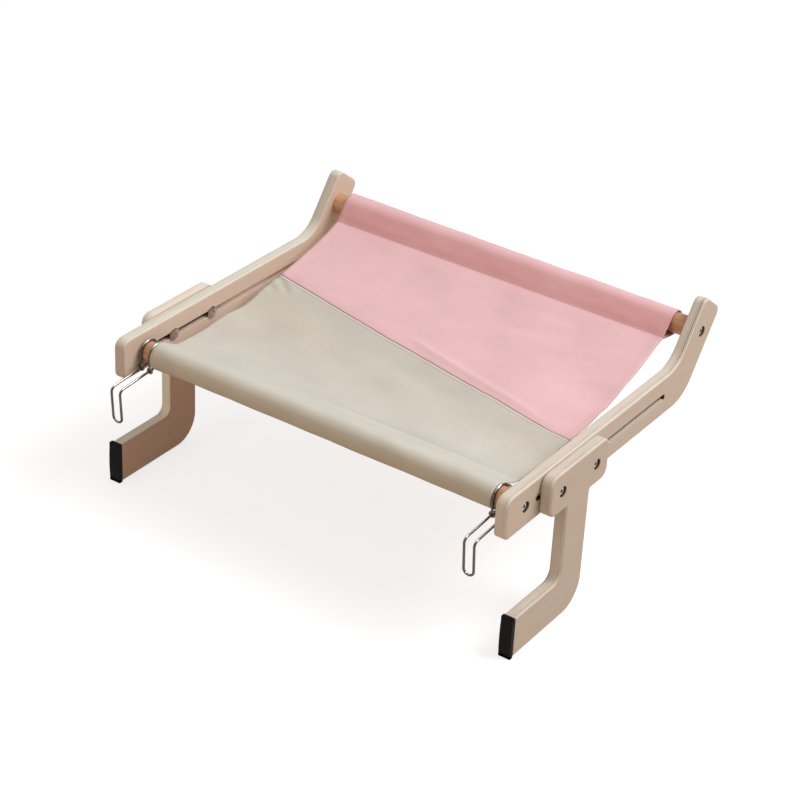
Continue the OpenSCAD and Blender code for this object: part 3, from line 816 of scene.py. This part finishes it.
def make_panel(name, side):
    """One colour of the sling: a grid from the seam to the far end of its sleeve."""
    columns = 150
    rows = 170
    near = [0.0, 0.0005, 0.0010, 0.0016, 0.0024, 0.0034, 0.0046, 0.0060, 0.0078, 0.010]
    panel = make_sheet(name, columns, rows + len(near) - 1)
    flat = {}
    for i in range(columns + 1):
        x = -cloth_half + 2 * cloth_half * i / columns
        column = cloth_column(x)
        start = distance_at_y(seam_y(x))
        reach = start - column[1][0] if side < 0 else column[1][-1] - start
        for j in range(rows + len(near)):
            if j < len(near):
                step = near[j]
            else:
                step = near[-1] + (reach - near[-1]) * (j - len(near) + 1) / rows
            index = j * (columns + 1) + i
            panel.data.vertices[index].co = cloth_point(x, start + side * step, side, column)
            flat[index] = (x, start + side * step, side * step)
    lay_sheet(panel, flat)
    bpy.ops.object.mode_set(mode="EDIT")
    bpy.ops.mesh.select_all(action="SELECT")
    if side < 0:
        bpy.ops.mesh.flip_normals()
    bpy.ops.object.mode_set(mode="OBJECT")
    thicken(panel, cloth_thick)
    return panel


# Plain canvas weave on the cut's own lengths: two sets of threads, over and under
weave, weave_in, weave_out = make_group(
    "canvas weave", {"Cut": (0, 0, 0), "Pitch": 0.0007}, ["Height", "Slub", "Shade"],
)
weave_spot = add_split(weave, weave_in["Cut"])
weave_rate = add_math(weave, "DIVIDE", math.pi, weave_in["Pitch"])
weave_u = add_math(weave, "SINE", times(weave, weave_spot[0], weave_rate))
weave_v = add_math(weave, "SINE", times(weave, weave_spot[1], weave_rate))
weave_check = times(weave, weave_u, weave_v)
weave.links.new(add_math(weave, "MULTIPLY_ADD", weave_check, 0.5, 0.5), weave_out["Height"])
weave_warp = add_streaks(weave, weave_in["Cut"], (900.0, 70.0, 1.0))
weave_weft = add_streaks(weave, weave_in["Cut"], (70.0, 900.0, 1.0))
weave.links.new(times(weave, add_math(weave, "ADD", weave_warp, weave_weft), 0.5), weave_out["Slub"])
weave.links.new(add_streaks(weave, weave_in["Cut"], (15.0, 19.0, 1.0), 3.0), weave_out["Shade"])

# A row of machine stitches: dashes along one length, a thread wide across the other
stitches, stitches_in, stitches_out = make_group(
    "machine stitches", {"Across": 0.0, "Along": 0.0, "Length": 0.0032}, ["Thread", "Dent"],
)
stitches_far = add_math(stitches, "ABSOLUTE", stitches_in["Across"])
stitches_line = add_band(stitches, stitches_far, 1000.0, [(0.28, 1.0), (0.48, 0.0)])
stitches_step = add_math(stitches, "DIVIDE", stitches_in["Along"], stitches_in["Length"])
stitches_step = add_math(stitches, "SUBTRACT", add_math(stitches, "FRACT", stitches_step), 0.5)
stitches_dash = add_ramp(stitches, add_math(stitches, "ABSOLUTE", stitches_step), [(0.34, 1.0), (0.42, 0.0)])
stitches_groove = add_band(stitches, stitches_far, 400.0, [(0.10, 1.0), (0.62, 0.0)])
stitches.links.new(times(stitches, stitches_line, stitches_dash), stitches_out["Thread"])
stitches.links.new(stitches_groove, stitches_out["Dent"])


def make_canvas(name, deep, light, thread, rows, sleeve_painted_shade, sleeve_shade_stops):
    """Woven canvas with rows of stitches, with painted shade in its weave, on its sleeves, behind the front
    sleeve, along the seam and in the stitch dents, and painted light near the front and on the seam's grey
    edge.
    """

    def darker(share):
        return tuple(share * part for part in deep)

    material, tree, shader = new_finish(name)
    cut = tree.nodes.new("ShaderNodeUVMap")
    cut.uv_map = "cut"
    seam = tree.nodes.new("ShaderNodeUVMap")
    seam.uv_map = "seam"
    threads = add_group(tree, weave, {"Cut": cut.outputs[0]})
    wide, far, _ = add_split(tree, cut.outputs[0])
    from_seam, along_seam, _ = add_split(tree, seam.outputs[0])
    from_hem = add_math(tree, "SUBTRACT", add_math(tree, "ABSOLUTE", wide), cloth_half - hem_stitch)
    past_rear = add_math(tree, "SUBTRACT", far, sheet_length)
    lines = {
        "side": (from_hem, far),
        "front": (far, wide),
        "rear": (past_rear, wide),
        "seam": (add_math(tree, "ADD", from_seam, seam_stitch), along_seam),
    }
    sewn = 0.0
    dent = 0.0
    for row in rows:
        sewing = add_group(tree, stitches, {"Across": lines[row][0], "Along": lines[row][1]})
        sewn = add_math(tree, "MAXIMUM", sewn, sewing["Thread"])
        dent = add_math(tree, "MAXIMUM", dent, sewing["Dent"])

    tone = add_ramp(tree, threads["Slub"], [(0.30, deep), (0.70, light)])
    mottle = add_ramp(tree, threads["Shade"], [(0.36, 0.0), (0.64, 1.0)])
    tone = tinted(tree, tone, darker(0.88), mottle, 0.42)
    # Painted shade in the hollows of the weave.
    tone = tinted(tree, tone, darker(0.72), add_math(tree, "SUBTRACT", 1.0, threads["Height"]), 0.14)
    # Painted shade on the sleeves: the cloth turned round each dowel takes a darker tone, varied at random.
    past = add_math(tree, "MAXIMUM", times(tree, far, -1.0), past_rear)
    sleeve = add_band(tree, past, 10.0, sleeve_shade_stops)
    sleeve = times(tree, sleeve, add_math(tree, "MULTIPLY_ADD", threads["Shade"], 0.7, 0.25))
    tone = add_mix(tree, sleeve, tone, sleeve_painted_shade)
    # Painted shadow and shade along the seam: a thin dark line in the seam and a wider shade on the pink
    # side, and a shade on the grey side beside it.
    seam_painted_shadow = add_band(tree, from_seam, 100.0, [(0.0, 0.0), (0.004, 1.0), (0.22, 0.9), (0.34, 0.0)])
    tone = tinted(tree, tone, (0.32 * deep[0], 0.25 * deep[1], 0.22 * deep[2]), seam_painted_shadow, 0.80)
    shade = add_band(tree, from_seam, 50.0, [(0.0, 0.0), (0.004, 1.0), (0.30, 0.7), (0.75, 0.0)])
    tone = tinted(tree, tone, darker(0.45), shade, 0.16)
    beside = add_band(tree, from_seam, -20.0, [(0.0, 0.0), (0.02, 0.9), (0.35, 0.8), (0.9, 0.0)])
    tone = tinted(tree, tone, darker(0.6), beside, 0.20)
    # Painted shade in a band behind the front sleeve, stronger towards the right.
    behind = add_band(tree, far, 20.0, [(0.18, 0.0), (0.23, 1.0), (0.75, 0.0)])
    to_right = add_ramp(tree, add_math(tree, "MULTIPLY_ADD", wide, 2.0, 0.5), [(0.24, 0.0), (0.62, 0.20)])
    tone = tinted(tree, tone, darker(0.6), behind, to_right)
    # Painted light: the cloth is paler on the front sleeve and just behind it.
    painted_light_near_front = add_band(tree, far, 10.0, [(0.2, 1.0), (0.9, 0.0)])
    tone = tinted(tree, tone, (1.0, 1.0, 1.0), painted_light_near_front, 0.10)
    # Painted highlight: a pale band along the grey edge of the seam.
    turned = add_band(tree, from_seam, -100.0, [(0.0, 0.0), (0.004, 1.0), (0.10, 1.0), (0.18, 0.0)])
    tone = tinted(tree, tone, (0.88, 0.85, 0.79), turned, 0.50)
    # Painted shade in the dents of the stitches.
    tone = tinted(tree, tone, darker(0.6), dent, 0.05)
    tone = add_mix(tree, sewn, tone, thread)
    tree.links.new(tone, shader.inputs["Base Color"])
    gloss = add_math(tree, "MULTIPLY_ADD", threads["Slub"], -0.12, 0.92)
    tree.links.new(gloss, shader.inputs["Roughness"])
    shader.inputs["Specular IOR Level"].default_value = 0.2
    shader.inputs["Sheen Weight"].default_value = 0.12
    shader.inputs["Sheen Roughness"].default_value = 0.45
    height = add_math(tree, "MULTIPLY_ADD", threads["Slub"], 0.8, threads["Height"])
    height = add_math(tree, "MULTIPLY_ADD", dent, -0.9, height)
    height = add_math(tree, "MULTIPLY_ADD", sewn, 1.6, height)
    add_relief(tree, shader, height, 0.35, 0.0004)
    return material


# The sleeve tones given to each canvas are painted shade.
grey_canvas = make_canvas(
    "grey_canvas", (0.625, 0.580, 0.497), (0.670, 0.625, 0.540), (0.655, 0.61, 0.53),
    rows=("side", "front", "seam"), sleeve_painted_shade=(0.49, 0.405, 0.290),
    sleeve_shade_stops=[(0.35, 0.0), (0.47, 1.0), (0.72, 1.0), (0.90, 0.3)],
)
pink_canvas = make_canvas(
    "pink_canvas", (0.835, 0.520, 0.535), (0.875, 0.570, 0.585), (0.84, 0.535, 0.55),
    rows=("side", "rear"), sleeve_painted_shade=(0.790, 0.350, 0.355),
    sleeve_shade_stops=[(0.0, 0.0), (0.012, 1.0), (0.20, 1.0), (0.36, 0.15)],
)
middle_column = cloth_column(0.0)
seam_middle = distance_at_y((seam_left_y + seam_right_y) / 2)
seam_drop = distance_at_y(seam_left_y) - distance_at_y(seam_right_y)

grey_panel = make_panel("grey_cloth", -1)
grey_panel.data.materials.append(grey_canvas)
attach(grey_panel, "frame")
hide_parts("grey_panel")
pink_panel = make_panel("pink_cloth", 1)
pink_panel.data.materials.append(pink_canvas)
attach(pink_panel, "frame")
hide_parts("pink_panel")


# The turned-under allowance of the slanting seam is a doubled strip of the grey
# canvas below the sling, stitched flat against it.
strip_half = 0.007
strip_thick = 0.0011
strip_short = 0.0006
strip_below = 0.0007
strip_columns = 110
strip_rows = 8
allowance = make_sheet("seam_strip", strip_columns, strip_rows)
strip_flat = {}
for i in range(strip_columns + 1):
    strip_x = -cloth_half + strip_short + 2 * (cloth_half - strip_short) * i / strip_columns
    strip_column = cloth_column(strip_x)
    for j in range(strip_rows + 1):
        strip_off = strip_half * (2 * j / strip_rows - 1)
        strip_far = distance_at_y(seam_y(strip_x)) + strip_off
        strip_at = cloth_point(strip_x, strip_far, 1, strip_column)
        strip_at.z -= cloth_thick / 2 + strip_below
        strip_index = j * (strip_columns + 1) + i
        allowance.data.vertices[strip_index].co = strip_at
        strip_flat[strip_index] = (strip_x, strip_far, strip_off)
lay_sheet(allowance, strip_flat)
thicken(allowance, strip_thick)
allowance.data.materials.append(grey_canvas)
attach(allowance, "frame")
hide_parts("seam_allowance")


# The studio has a plain pale floor just under the feet, which the eye and the
# polished metal see as white, a large soft lamp overhead behind the right arm,
# and a weak warm lamp at the front left.
floor_level = -0.1482
lamp_aim = Vector((0, 0.2, 0))


def add_seen(tree):
    """One where the eye, glass or polished metal looks, and nought for other light."""
    ray = tree.nodes.new("ShaderNodeLightPath").outputs
    seen = add_math(tree, "MAXIMUM", ray["Is Camera Ray"], ray["Is Transmission Ray"])
    return add_math(tree, "MAXIMUM", seen, ray["Is Glossy Ray"])


def choose_seen(tree, lighting, seen, output):
    made = tree.nodes.new("ShaderNodeMixShader")
    tree.links.new(add_seen(tree), made.inputs[0])
    tree.links.new(lighting.outputs[0], made.inputs[1])
    tree.links.new(seen.outputs[0], made.inputs[2])
    tree.links.new(made.outputs[0], output.inputs["Surface"])


bpy.ops.object.select_all(action="DESELECT")
bpy.ops.mesh.primitive_plane_add(size=14.0, location=(0, 0, floor_level))
floor = bpy.context.view_layer.objects.active
floor.name = "floor"
floor_paint = bpy.data.materials.new("floor_paint")
floor_paint.use_nodes = True
floor_tree = floor_paint.node_tree
floor_tree.nodes.remove(floor_tree.nodes["Principled BSDF"])
floor_matt = floor_tree.nodes.new("ShaderNodeBsdfDiffuse")
floor_matt.inputs["Color"].default_value = (0.56, 0.43, 0.31, 1)
floor_pale = floor_tree.nodes.new("ShaderNodeBsdfDiffuse")
floor_pale.inputs["Color"].default_value = (0.37, 0.37, 0.37, 1)
floor_glow = floor_tree.nodes.new("ShaderNodeEmission")
floor_glow.inputs["Color"].default_value = (1, 1, 1, 1)
floor_glow.inputs["Strength"].default_value = 0.75
floor_white = floor_tree.nodes.new("ShaderNodeAddShader")
floor_tree.links.new(floor_pale.outputs[0], floor_white.inputs[0])
floor_tree.links.new(floor_glow.outputs[0], floor_white.inputs[1])
choose_seen(floor_tree, floor_matt, floor_white, floor_tree.nodes["Material Output"])
floor.data.materials.append(floor_paint)

world = bpy.data.worlds.new("studio")
scene.world = world
world.use_nodes = True
world_tree = world.node_tree
world_light = world_tree.nodes["Background"]
world_light.inputs["Color"].default_value = (1.0, 0.95, 0.89, 1)
world_light.inputs["Strength"].default_value = 0.42
world_way = world_tree.nodes.new("ShaderNodeTexCoord").outputs
world_up = add_split(world_tree, world_way["Generated"])[2]
world_tone = add_ramp(world_tree, world_up, [(0.22, (0.94, 0.94, 0.93)), (0.50, (0.60, 0.585, 0.56))])
world_wall = world_tree.nodes.new("ShaderNodeBackground")
world_tree.links.new(world_tone, world_wall.inputs["Color"])
choose_seen(world_tree, world_light, world_wall, world_tree.nodes["World Output"])

for lamp_name, lamp_place, lamp_size, lamp_power, lamp_colour in (
    ("overhead", (2.3, 1.7, 3.3), 2.6, 158.0, (0.98, 1.0, 1.04)),
    ("front_fill", (-0.9, -2.0, 1.1), 1.2, 8.2, (1.0, 0.83, 0.64)),
):
    lamp_data = bpy.data.lights.new(lamp_name, "AREA")
    lamp_data.size = lamp_size
    lamp_data.energy = lamp_power
    lamp_data.color = lamp_colour
    lamp = bpy.data.objects.new(lamp_name, lamp_data)
    scene.collection.objects.link(lamp)
    lamp.location = lamp_place
    lamp.rotation_mode = "QUATERNION"
    lamp.rotation_quaternion = (lamp_aim - lamp.location).to_track_quat("-Z", "Y")
